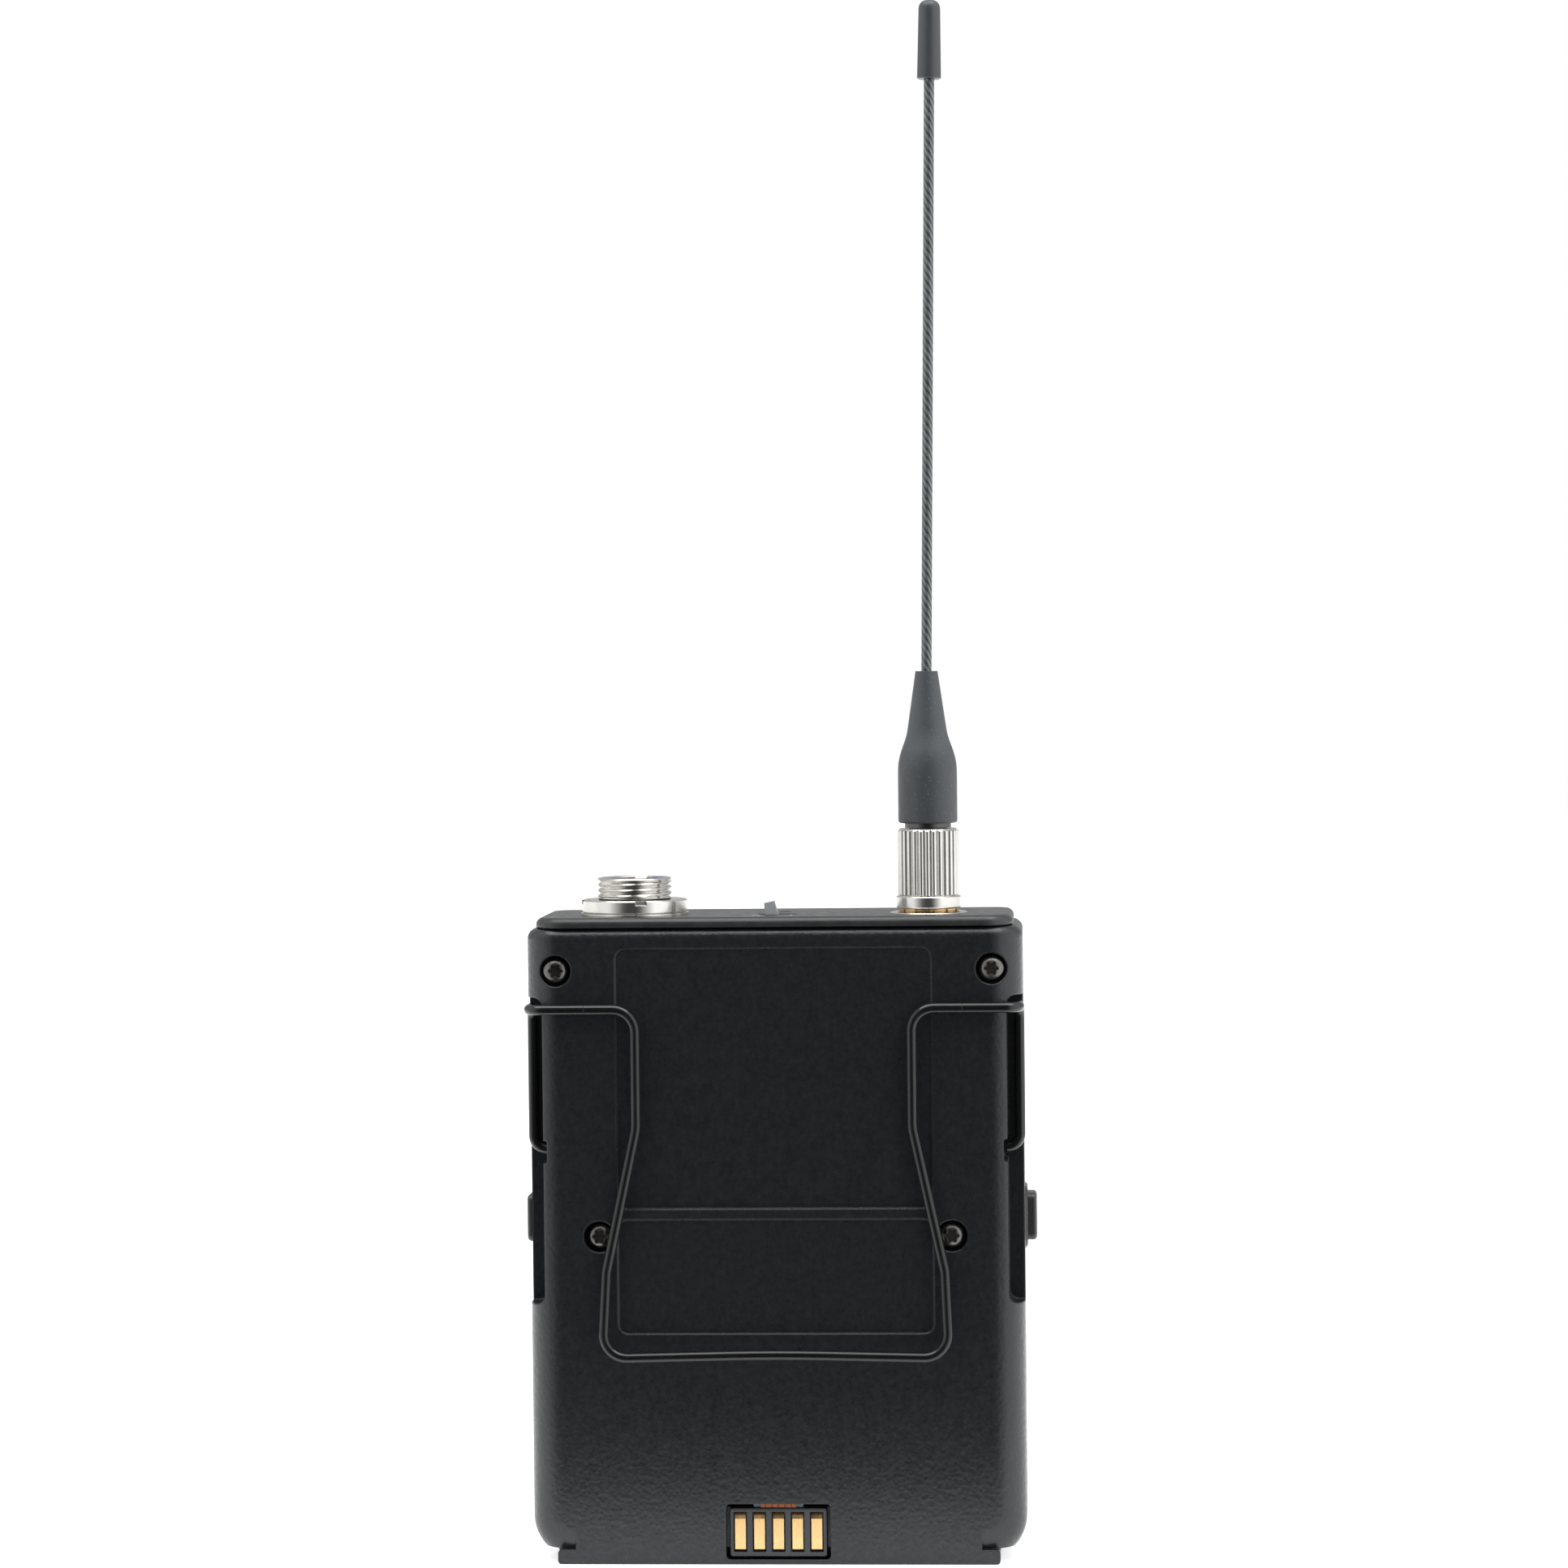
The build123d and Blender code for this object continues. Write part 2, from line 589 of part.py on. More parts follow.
with BuildPart() as antenna_core:
    with BuildSketch(socket_plane(SMA_X)):
        with BuildLine():
            Polyline(
                (2.0, 92.1), (3.0, 92.1), (3.0, 93.55), (2.42, 93.55), (2.42, 97.4), (3.1, 97.4),
                (3.1, BOOT_Z0), (1.5, BOOT_Z0), (1.5, 104.0), (WHIP_R, 104.0), (WHIP_R, 100.0),
                (0, 100.0), (0, 95.0), (2.0, 95.0),
                close=True,
            )
        make_face()
    revolve(axis=socket_axis(SMA_X))
save(antenna_core.part, "antenna_core")

with BuildPart() as antenna_plug_insulator:
    with BuildSketch(Plane.XY.offset(92.1)):
        with Locations((SMA_X, SOCKET_Y)):
            Circle(2.0)
            Circle(0.455, mode=Mode.SUBTRACT)
    extrude(amount=2.9)
save(antenna_plug_insulator.part, "antenna_plug_insulator")

with BuildPart() as antenna_plug_pin:
    with BuildSketch(Plane.XY.offset(87.1)):
        with Locations((SMA_X, SOCKET_Y)):
            Circle(0.455)
    extrude(amount=7.9)
    chamfer(antenna_plug_pin.faces().sort_by(Axis.Z)[0].edges(), 0.2)
save(antenna_plug_pin.part, "antenna_plug_pin")

with BuildPart() as antenna_boot:
    with BuildSketch(socket_plane(SMA_X)):
        with BuildLine():
            Polyline(
                (1.485, BOOT_TOP), (WHIP_R, BOOT_TOP), (WHIP_R, 104.0), (1.5, 104.0),
                (1.5, BOOT_Z0), (3.75, BOOT_Z0), (3.95, BOOT_Z0 + 0.2), (3.95, 104.6),
            )
            Bezier((3.95, 104.6), (3.95, 107.6), (2.95, 108.3), (2.6, 110.6))
            Line((2.6, 110.6), (1.485, BOOT_TOP))
        make_face()
    revolve(axis=socket_axis(SMA_X))
save(antenna_boot.part, "antenna_boot")

lean = (sin(radians(WHIP_LEAN)), 0, cos(radians(WHIP_LEAN)))
flex_point = (whip_x(FLEX_Z), SOCKET_Y, FLEX_Z)
whip_lower_points = [
    (SMA_X, SOCKET_Y, 100.0),
    (SMA_X, SOCKET_Y, BOOT_TOP),
    (whip_x(FLEX_Z - 0.75), SOCKET_Y, FLEX_Z - 0.75),
]
whip_lower = wire_along(whip_lower_points, 300.0, (0, 0, 1))
save(whip_lower, "whip_lower")

with BuildPart() as whip_upper:
    with BuildSketch(Plane(origin=flex_point, x_dir=(0, 1, 0), z_dir=lean)):
        Circle(WHIP_R)
    extrude(amount=WHIP_TOP + 6.0 - FLEX_Z)
    with Locations(flex_point):
        Sphere(WHIP_R)
save(whip_upper.part, "whip_upper")

tip_base = (whip_x(WHIP_TOP), SOCKET_Y, WHIP_TOP)
tip_length = TIP_TOP - WHIP_TOP
tip_plane = Plane(origin=tip_base, x_dir=(lean[2], 0, -lean[0]), z_dir=(0, -1, 0))
with BuildPart() as whip_tip_cap:
    with BuildSketch(tip_plane):
        with BuildLine():
            Polyline(
                (0, tip_length), (0, 6.0), (WHIP_R, 6.0), (WHIP_R, 0), (1.45, 0), (1.6, 0.15),
                (1.45, tip_length - 1.3),
            )
            Bezier(
                (1.45, tip_length - 1.3), (1.44, tip_length - 0.4), (0.95, tip_length),
                (0, tip_length),
            )
        make_face()
    revolve(axis=Axis(tip_base, lean))
save(whip_tip_cap.part, "whip_tip_cap")

# ---------------------------------------------------------------- power toggle
lever_angle = radians(LEVER_TILT)
lever_plane = Plane(
    origin=(LEVER_X, LEVER_Y, LEVER_Z),
    x_dir=(cos(lever_angle), 0, sin(lever_angle)),
    z_dir=(0, -1, 0),
)
with BuildPart() as toggle_lever:
    with BuildSketch(lever_plane) as bat:
        with BuildLine():
            Polyline((-1.2, 0), (1.2, 0), (0.69, 5.75), (-0.69, 5.75), close=True)
        make_face()
        fillet(bat.vertices().filter_by(lambda v: v.Z > 86), 0.4)
    extrude(amount=0.8, both=True)
    with BuildSketch(lever_plane):
        Circle(1.4)
    extrude(amount=0.8, both=True)
    with BuildSketch(lever_plane):
        Circle(0.5)
    extrude(amount=1.8, both=True)
save(toggle_lever.part, "toggle_lever")

with BuildPart() as toggle_switch_body:
    with BuildSketch(facing_back(-1.2)):
        with Locations((LEVER_X, 79.85)):
            Rectangle(9.0, 6.7)
    extrude(amount=5.6)
    with BuildSketch(facing_back(LEVER_Y)):
        with Locations((LEVER_X, LEVER_Z)):
            Circle(1.6)
        with Locations((LEVER_X, LEVER_Z + 1.0)):
            Rectangle(5.4, 2.0)
    extrude(amount=0.95, both=True, mode=Mode.SUBTRACT)
    with BuildSketch(facing_back(LEVER_Y)):
        with Locations((LEVER_X, LEVER_Z)):
            Circle(0.5 + FIT)
    extrude(amount=2.0, both=True, mode=Mode.SUBTRACT)
    # three solder tags below
    with BuildSketch(Plane.XY.offset(76.5)):
        with Locations((LEVER_X, LEVER_Y)):
            with GridLocations(3.0, 1.0, 3, 1):
                Rectangle(0.8, 0.4)
    extrude(amount=-2.5)
save(toggle_switch_body.part, "toggle_switch_body")

with BuildPart() as status_light_pipe:
    with BuildSketch(Plane.XY.offset(80.0)):
        with Locations((LIGHT_X, LIGHT_Y)):
            Circle(0.85)
    extrude(amount=5.9)
    with BuildSketch(Plane.XY.offset(82.2)):
        with Locations((LIGHT_X, LIGHT_Y)):
            Circle(1.3)
    extrude(amount=1.2)
save(status_light_pipe.part, "status_light_pipe")

# ---------------------------------------------------------------- belt clip
BEND_R = 1.8
for side, label in ((1, "clip_arm_right"), (-1, "clip_arm_left")):
    arm_points = [
        (side * 28.3, CLIP_Y, CLIP_Z),
        (side * ARM_X, CLIP_Y, CLIP_Z),
        (side * ARM_X, CLIP_Y, BAR_Z),
        (side * ARM_X, BAR_Y, BAR_Z),
        (side * WIRE_SPLIT_X, BAR_Y, BAR_Z),
    ]
    save(wire_along(arm_points, BEND_R, (side, 0, 0)), label)

LOOP_NECK_X = 18.3
LOOP_WIDE_X = 22.4
LOOP_BOTTOM_X = 22.9
LOOP_BOTTOM_Z = 27.8
LOOP_BOTTOM_Y = BAR_Y - 1.6
half_loop = [
    (WIRE_SPLIT_X, BAR_Y, BAR_Z),
    (LOOP_NECK_X, BAR_Y, BAR_Z),
    (LOOP_NECK_X, BAR_Y, 58.1),
    (LOOP_WIDE_X, BAR_Y, 39.1),
    (LOOP_BOTTOM_X, LOOP_BOTTOM_Y, LOOP_BOTTOM_Z),
]
loop_middle = (0, LOOP_BOTTOM_Y, LOOP_BOTTOM_Z + 0.5)
other_half = [(-x, y, z) for x, y, z in reversed(half_loop)]
loop_radii = [3.0, 6.0, 1.6, 3.1, 300.0, 3.1, 1.6, 6.0, 3.0]
clip_loop = wire_along(half_loop + [loop_middle] + other_half, loop_radii, (-1, 0, 0))
save(clip_loop, "clip_loop")

# ---------------------------------------------------------------- battery door
with BuildPart() as battery_door:
    with BuildSketch(facing_back(FRONT_Y)):
        with Locations((0, (HINGE_Z + DOOR_TOP) / 2)):
            Rectangle(2 * DOOR_X, DOOR_TOP - HINGE_Z)
    extrude(amount=DOOR_T)
    top_front = battery_door.faces().sort_by(Axis.Y)[-1].edges().sort_by(Axis.Z)[-1]
    fillet(top_front, 0.4)
    # knuckle along the lower edge, bored for the hinge pin
    with BuildSketch(facing_side(-DOOR_X)):
        with Locations((HINGE_Y, HINGE_Z)):
            Circle(KNUCKLE_R)
    extrude(amount=2 * DOOR_X)
    with BuildSketch(facing_side(-DOOR_X)):
        with Locations((HINGE_Y, HINGE_Z)):
            Circle(PIN_R + FIT)
    extrude(amount=2 * DOOR_X, mode=Mode.SUBTRACT)
    # catches for the latches, one at each side
    for side in (1, -1):
        with BuildSketch(facing_side(side * 27.6)):
            with Locations((6.6, 43.5)):
                Rectangle(7.2, 3.0)
        extrude(amount=side * 1.0)
    # stiffening ribs inside, beside the pressure pad
    with BuildSketch(facing_back(FRONT_Y - DOOR_T)):
        with Locations((0, 42.0), (0, 46.6)):
            Rectangle(48.0, 1.0)
    extrude(amount=1.2)
    # three grip lines near the top
    with BuildSketch(facing_back(FRONT_Y)):
        with GridLocations(1.0, 1.6, 1, 3):
            with Locations((0, 44.5)):
                SlotOverall(16.0, 0.7)
    extrude(amount=0.35, mode=Mode.SUBTRACT)
save(battery_door.part, "battery_door")

with BuildPart() as door_hinge_pin:
    with BuildSketch(facing_side(-DOOR_X - 1.9)):
        with Locations((HINGE_Y, HINGE_Z)):
            Circle(PIN_R)
    extrude(amount=2 * (DOOR_X + 1.9))
save(door_hinge_pin.part, "door_hinge_pin")

with BuildPart() as door_pressure_pad:
    with BuildSketch(facing_back(FRONT_Y - DOOR_T)):
        with Locations((0, 23.4)):
            RectangleRounded(40.0, 20.0, 2.0)
    extrude(amount=0.5)
save(door_pressure_pad.part, "door_pressure_pad")

# ---------------------------------------------------------------- battery and its tray
PACK_X = 26.1
PACK_Z0 = 7.8
PACK_Z1 = 39.0
PACK_Y0 = -3.3
PACK_Y1 = 9.3
TRAY_WALL = 1.0
TRAY_X = PACK_X + 0.3 + TRAY_WALL
with BuildPart() as battery_tray:
    with BuildSketch(facing_back(8.0)) as tray_outline:
        with Locations((0, 23.6)):
            Rectangle(2 * TRAY_X, 34.0)
    extrude(amount=8.0 - PACK_Y0 + 0.2 + TRAY_WALL)
    with BuildSketch(facing_back(8.0)):
        with Locations((0, 23.6)):
            Rectangle(2 * (TRAY_X - TRAY_WALL), 32.0)
    extrude(amount=8.0 - PACK_Y0 + 0.2, mode=Mode.SUBTRACT)
    # ears for the lower case screws, and a seat for each latch spring
    for side in (1, -1):
        with BuildSketch(facing_back(0.5)):
            with Locations((side * LOWER_SCREW[0], LOWER_SCREW[1])):
                Circle(2.5)
        extrude(amount=8.5)
        with BuildSketch(facing_back(-0.5)):
            with Locations((side * LOWER_SCREW[0], 42.0)):
                Rectangle(5.0, 3.4)
        extrude(amount=4.0)
        with BuildSketch(facing_side(side * (TRAY_X - TRAY_WALL))):
            with Locations((0.95, 43.0)):
                Rectangle(3.9, 6.0)
        extrude(amount=side * TRAY_WALL)
        with BuildSketch(facing_back(0.5)):
            with Locations((side * LOWER_SCREW[0], LOWER_SCREW[1])):
                Circle(SCREW_SHANK_R + FIT)
        extrude(amount=8.5, mode=Mode.SUBTRACT)
    # slots for the battery contacts
    with BuildSketch(facing_back(0.0)):
        with Locations((0, 39.35)):
            with GridLocations(7.0, 1.0, 3, 1):
                Rectangle(3.4, 0.5)
    extrude(amount=6.0, mode=Mode.SUBTRACT)
save(battery_tray.part, "battery_tray")

with BuildPart() as battery_contacts:
    with BuildSketch(facing_back(4.0)):
        with Locations((0, 39.3)):
            with GridLocations(7.0, 1.0, 3, 1):
                Rectangle(3.2, 0.3)
    extrude(amount=9.5)
save(battery_contacts.part, "battery_contacts")

with BuildPart() as battery_pack:
    with BuildSketch(facing_side(-PACK_X)) as cells:
        with Locations(((PACK_Y0 + PACK_Y1) / 2, (PACK_Z0 + PACK_Z1) / 2)):
            Rectangle(PACK_Y1 - PACK_Y0, PACK_Z1 - PACK_Z0)
        fillet(cells.vertices(), 4.5)
    extrude(amount=2 * PACK_X)
    fillet(battery_pack.faces().group_by(Axis.X)[0].edges(), 0.8)
    fillet(battery_pack.faces().group_by(Axis.X)[-1].edges(), 0.8)
save(battery_pack.part, "battery_pack")

# ---------------------------------------------------------------- latch buttons
for side, label in ((1, "latch_button_right"), (-1, "latch_button_left")):
    with BuildPart() as latch_button:
        with BuildSketch(facing_side(side * 31.3)):
            with Locations((LATCH_Y, LATCH_Z)):
                RectangleRounded(5.0, 6.4, 1.0)
        extrude(amount=side * (LATCH_OUT - 31.3))
        outer_face = latch_button.faces().sort_by(Axis.X)[-1 if side > 0 else 0]
        fillet(outer_face.edges(), 0.5)
        with BuildSketch(facing_side(side * 30.0)):
            with Locations((LATCH_Y, LATCH_Z)):
                Rectangle(6.6, 8.0)
        extrude(amount=side * 1.3)
        # arm over the door's catch, and the tooth behind it
        with BuildSketch(facing_side(side * 26.2)):
            with Locations((5.0, 46.9)):
                Rectangle(1.6, 1.4)
        extrude(amount=side * 3.8)
        with BuildSketch(facing_side(side * 26.2)):
            with Locations((5.0, 44.9)):
                Rectangle(1.6, 4.8)
        extrude(amount=side * 1.1)
    save(latch_button.part, label)

SPRING_R = 0.55
SPRING_WIRE_R = 0.15
for side, label in ((1, "latch_spring_right"), (-1, "latch_spring_left")):
    with BuildPart() as latch_spring:
        with BuildLine() as coil:
            Helix(
                pitch=0.55,
                height=2.2,
                radius=SPRING_R,
                center=(side * (TRAY_X + 0.2), 2.1, LATCH_Z),
                direction=(side, 0, 0),
            )
        with BuildSketch(Plane(origin=coil.line @ 0, z_dir=coil.line % 0)):
            Circle(SPRING_WIRE_R)
        sweep(path=coil.line, is_frenet=True)
    save(latch_spring.part, label)

# ---------------------------------------------------------------- boards and display
with BuildPart() as main_board:
    with BuildSketch(facing_back(-3.4)):
        with Locations((0, 59.0)):
            Rectangle(56.0, 24.0)
        with Locations((-26.5, 68.5), (26.5, 68.5), (-26.5, 49.5), (26.5, 49.5)):
            Circle(1.1, mode=Mode.SUBTRACT)
    extrude(amount=1.2)
save(main_board.part, "main_board")

with BuildPart() as shield_can:
    with BuildSketch(facing_back(-4.6)):
        with Locations((-9.0, 60.0)):
            Rectangle(30.0, 17.0)
    extrude(amount=2.6)
    fillet(shield_can.edges().filter_by(Axis.Y), 0.8)
    with BuildSketch(facing_back(-4.6)):
        with Locations((-9.0, 60.0)):
            RectangleRounded(29.4, 16.4, 0.5)
    extrude(amount=2.3, mode=Mode.SUBTRACT)
    # vent holes
    with BuildSketch(facing_back(-6.5)):
        with Locations((-9.0, 60.0)):
            with GridLocations(4.0, 4.0, 6, 3):
                Circle(0.6)
    extrude(amount=2.0, mode=Mode.SUBTRACT)
save(shield_can.part, "shield_can")

chip_places = ((-14.0, 60.0, 10.0, 10.0), (2.0, 63.0, 7.0, 7.0), (12.0, 54.0, 5.0, 6.0), (16.0, 65.0, 4.0, 3.0))
with BuildPart() as board_chips:
    for x, z, width, height in chip_places:
        with BuildSketch(facing_back(-2.4)):
            with Locations((x, z)):
                Rectangle(width, height)
        extrude(amount=1.0)
    with BuildSketch(facing_back(-4.6)):
        with Locations((-26.0, 53.0), (9.0, 53.0), (20.0, 53.0)):
            Rectangle(2.4, 3.2)
    extrude(amount=1.2)
save(board_chips.part, "board_chips")

with BuildPart() as ui_board:
    with BuildSketch(facing_back(5.9)):
        with Locations((0, 66.5)):
            Rectangle(50.0, 31.0)
    extrude(amount=1.0)
save(ui_board.part, "ui_board")

with BuildPart() as display_module:
    with BuildSketch(facing_back(9.3)):
        with Locations((0, 68.0)):
            RectangleRounded(32.0, 16.0, 0.8)
    extrude(amount=3.4)
save(display_module.part, "display_module")

with BuildPart() as display_window:
    with BuildSketch(facing_back(FRONT_Y - 0.1)):
        with Locations((0, 68.0)):
            RectangleRounded(32.8, 16.8, 1.1)
    extrude(amount=0.9)
save(display_window.part, "display_window")

with BuildPart() as infrared_window:
    with BuildSketch(facing_back(FRONT_Y - 0.15)):
        with Locations((0, 80.2)):
            SlotOverall(8.8, 2.8)
    extrude(amount=0.85)
    with BuildSketch(facing_back(FRONT_Y - 1.0)):
        with Locations((0, 80.2)):
            SlotOverall(6.8, 1.6)
    extrude(amount=2.0)
save(infrared_window.part, "infrared_window")

# ---------------------------------------------------------------- navigation keys
KEY_Z = 54.4
KEY_PLACES = (("key_menu", -13.5), ("key_down", -4.5), ("key_up", 4.5), ("key_enter", 13.5))
for label, x in KEY_PLACES:
    with BuildPart() as key:
        with BuildSketch(facing_back(12.1)):
            with Locations((x, KEY_Z)):
                RectangleRounded(6.9, 3.7, 1.1)
        extrude(amount=2.4)
        fillet(key.faces().sort_by(Axis.Y)[-1].edges(), 0.35)
        with BuildSketch(facing_back(9.9)):
            with Locations((x, KEY_Z)):
                RectangleRounded(8.2, 5.0, 1.2)
        extrude(amount=1.0)
    save(key.part, label)

with BuildPart() as key_switches:
    for label, x in KEY_PLACES:
        with BuildSketch(facing_back(7.6)):
            with Locations((x, KEY_Z)):
                Rectangle(4.5, 4.5)
        extrude(amount=1.7)
        with BuildSketch(facing_back(8.3)):
            with Locations((x, KEY_Z)):
                Circle(1.1)
        extrude(amount=0.8)
save(key_switches.part, "key_switches")

# ---------------------------------------------------------------- charge contacts
BLOCK_Z = 4.2
BLOCK_FRONT_Y = BACK_Y + 0.35
with BuildPart() as charge_contact_block:
    with BuildSketch(facing_back(-8.6)) as carrier:
        with Locations((0, BLOCK_Z)):
            RectangleRounded(12.95, 6.52, 0.4)
    extrude(amount=-8.6 - BLOCK_FRONT_Y)
    fillet(charge_contact_block.faces().sort_by(Axis.Y)[0].edges(), 0.25)
    with BuildSketch(facing_back(BLOCK_FRONT_Y + 1.0)):
        with Locations((0, BLOCK_Z + 0.08)):
            with GridLocations(CONTACT_PITCH, 1.0, 5, 1):
                RectangleRounded(1.8, 5.37, 0.15)
    extrude(amount=3.0, mode=Mode.SUBTRACT)
    # mounting plate behind the wall of the shell
    with BuildSketch(facing_back(-8.6)):
        with Locations((0, 4.75)):
            Rectangle(19.0, 5.4)
    extrude(amount=1.38)
save(charge_contact_block.part, "charge_contact_block")

with BuildPart() as charge_pad:
    with BuildSketch(facing_side(-0.72)):
        with BuildLine():
            Polyline(
                (BLOCK_FRONT_Y + 1.0, 1.93), (BLOCK_FRONT_Y + 0.25, 1.93),
                (BLOCK_FRONT_Y + 0.25, 6.0), (BLOCK_FRONT_Y + 0.31, 6.5),
                (BLOCK_FRONT_Y + 0.62, 6.8), (BLOCK_FRONT_Y + 1.0, 6.8),
                close=True,
            )
        make_face()
    extrude(amount=1.44)
with BuildPart() as charge_contacts:
    with Locations(*[(step * CONTACT_PITCH, 0, 0) for step in (-2, -1, 0, 1, 2)]):
        add(charge_pad)
save(charge_contacts.part, "charge_contacts")

FLEX_X = 2.36
with BuildPart() as charge_flex:
    with BuildSketch(facing_side(-FLEX_X)):
        with BuildLine():
            Polyline(
                (-10.75, 7.5), (-10.75, 9.6), (-9.6, 11.6), (-9.2, 14.0), (-9.2, 43.5),
                (-4.85, 48.2), (-4.85, 50.8),
            )
        trace(line_width=0.2)
    extrude(amount=2 * FLEX_X)
save(charge_flex.part, "charge_flex")

with BuildPart() as flex_stiffener:
    with BuildSketch(facing_back(-10.4)):
        with Locations((0, 8.5)):
            Rectangle(6.6, 2.0)
    extrude(amount=0.22)
save(flex_stiffener.part, "flex_stiffener")
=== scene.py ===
"""Looks of the bodypack transmitter: materials, threads, whip, latch springs, printed marks, studio, camera."""

import json
import math

import bpy
from mathutils import Euler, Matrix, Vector


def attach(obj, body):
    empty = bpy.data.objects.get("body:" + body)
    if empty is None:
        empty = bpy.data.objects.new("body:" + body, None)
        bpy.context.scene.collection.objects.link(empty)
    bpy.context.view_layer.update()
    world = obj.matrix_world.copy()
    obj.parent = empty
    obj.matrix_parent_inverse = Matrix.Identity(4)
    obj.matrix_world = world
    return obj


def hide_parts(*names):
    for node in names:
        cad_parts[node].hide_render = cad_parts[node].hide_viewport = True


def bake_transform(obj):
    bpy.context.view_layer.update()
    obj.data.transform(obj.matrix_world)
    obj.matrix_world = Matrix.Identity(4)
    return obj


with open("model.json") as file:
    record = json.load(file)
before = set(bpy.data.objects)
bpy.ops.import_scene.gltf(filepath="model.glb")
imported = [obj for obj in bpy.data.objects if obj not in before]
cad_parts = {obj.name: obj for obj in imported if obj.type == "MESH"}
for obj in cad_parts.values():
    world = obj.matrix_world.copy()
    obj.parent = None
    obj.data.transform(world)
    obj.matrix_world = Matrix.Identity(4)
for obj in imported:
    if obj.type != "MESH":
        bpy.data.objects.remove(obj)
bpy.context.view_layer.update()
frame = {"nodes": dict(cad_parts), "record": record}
nodes = frame["nodes"]

INPUT = Vector((-0.019, -0.0025, 0.0))
ANTENNA = Vector((0.0205, -0.0025, 0.0))
WHIP_FOOT_Z = 0.1183        # where the whip leaves its boot
WHIP_TOP_Z = 0.2025         # inside the tip cap
WHIP_LEAN = math.radians(0.8)
WHIP_R = 0.0007
STRANDS = 6
STRAND_LAY = 0.0066         # height in which one strand goes once round


# ------------------------------------------------------------------ node helpers
class Tree:
    """Short names for building one material's nodes."""

    def __init__(self, name):
        self.material = bpy.data.materials.new(name)
        self.material.use_nodes = True
        self.tree = self.material.node_tree
        self.shader = self.tree.nodes["Principled BSDF"]
        self.coords = self.tree.nodes.new("ShaderNodeTexCoord")

    def node(self, kind, **values):
        made = self.tree.nodes.new(kind)
        for key, value in values.items():
            setattr(made, key, value)
        return made

    def link(self, source, target):
        self.tree.links.new(source, target)

    def math(self, operation, a, b=None):
        made = self.node("ShaderNodeMath", operation=operation)
        for socket, value in zip(made.inputs, (a, b)):
            if value is None:
                continue
            if isinstance(value, (int, float)):
                socket.default_value = value
            else:
                self.link(value, socket)
        return made.outputs[0]

    def stretched(self, scale, source=None):
        mapping = self.node("ShaderNodeMapping")
        mapping.inputs["Scale"].default_value = scale
        self.link(source or self.coords.outputs["Object"], mapping.inputs["Vector"])
        return mapping.outputs["Vector"]

    def noise(self, scale, detail=2.0, roughness=0.5, vector=None):
        made = self.node("ShaderNodeTexNoise")
        made.inputs["Scale"].default_value = scale
        made.inputs["Detail"].default_value = detail
        made.inputs["Roughness"].default_value = roughness
        self.link(vector or self.coords.outputs["Object"], made.inputs["Vector"])
        return made.outputs["Fac"]

    def cells(self, scale, vector=None):
        made = self.node("ShaderNodeTexVoronoi", feature="SMOOTH_F1")
        made.inputs["Scale"].default_value = scale
        made.inputs["Smoothness"].default_value = 0.6
        self.link(vector or self.coords.outputs["Object"], made.inputs["Vector"])
        return made.outputs["Distance"]

    def between(self, fac, low, high, start=0.35, end=0.65):
        made = self.node("ShaderNodeMapRange")
        made.inputs["From Min"].default_value = start
        made.inputs["From Max"].default_value = end
        made.inputs["To Min"].default_value = low
        made.inputs["To Max"].default_value = high
        self.link(fac, made.inputs["Value"])
        return made.outputs["Result"]

    def ramp(self, fac, stops):
        made = self.node("ShaderNodeValToRGB")
        band = made.color_ramp
        while len(band.elements) < len(stops):
            band.elements.new(0.5)
        for element, (place, color) in zip(band.elements, stops):
            element.position = place
            element.color = (*color, 1.0)
        self.link(fac, made.inputs["Fac"])
        return made.outputs["Color"]

    def bump(self, heights, bevel=0.0):
        """Chain of bumps: (height socket, depth in metres, strength). bevel is the radius that softens hard edges."""
        last = None
        if bevel:
            rounded = self.node("ShaderNodeBevel", samples=4)
            rounded.inputs["Radius"].default_value = bevel
            last = rounded.outputs["Normal"]
        for height, depth, strength in heights:
            made = self.node("ShaderNodeBump")
            made.inputs["Distance"].default_value = depth
            made.inputs["Strength"].default_value = strength
            self.link(height, made.inputs["Height"])
            if last is not None:
                self.link(last, made.inputs["Normal"])
            last = made.outputs["Normal"]
        self.link(last, self.shader.inputs["Normal"])


def shade(color, factor):
    return tuple(min(1.0, c * factor) for c in color)


def moulded(name, color, roughness, grain=2600.0, depth=1.2e-5, coat=0.0, specks=None, vary=0.12):
    """Moulded plastic, rubber or paint: fine grain, patchy gloss, slight colour change."""
    t = Tree(name)
    fine = t.noise(grain, 3.0, 0.6)
    broad = t.noise(90.0, 2.0)
    tint = t.ramp(broad, [(0.35, shade(color, 1 - vary)), (0.65, shade(color, 1 + vary))])
    if specks:
        dots = t.noise(5200.0, 1.0)
        mixed = t.node("ShaderNodeMix", data_type="RGBA")
        t.link(t.between(dots, 0.0, 1.0, 0.72, 0.76), mixed.inputs["Factor"])
        t.link(tint, mixed.inputs["A"])
        mixed.inputs["B"].default_value = (*specks, 1.0)
        tint = mixed.outputs["Result"]
    t.link(tint, t.shader.inputs["Base Color"])
    gloss = t.between(t.noise(700.0, 3.0), roughness - 0.05, roughness + 0.06)
    t.link(gloss, t.shader.inputs["Roughness"])
    t.shader.inputs["Coat Weight"].default_value = coat
    t.shader.inputs["Coat Roughness"].default_value = 0.12
    t.bump([(fine, depth, 0.7)], bevel=0.00012)
    return t.material


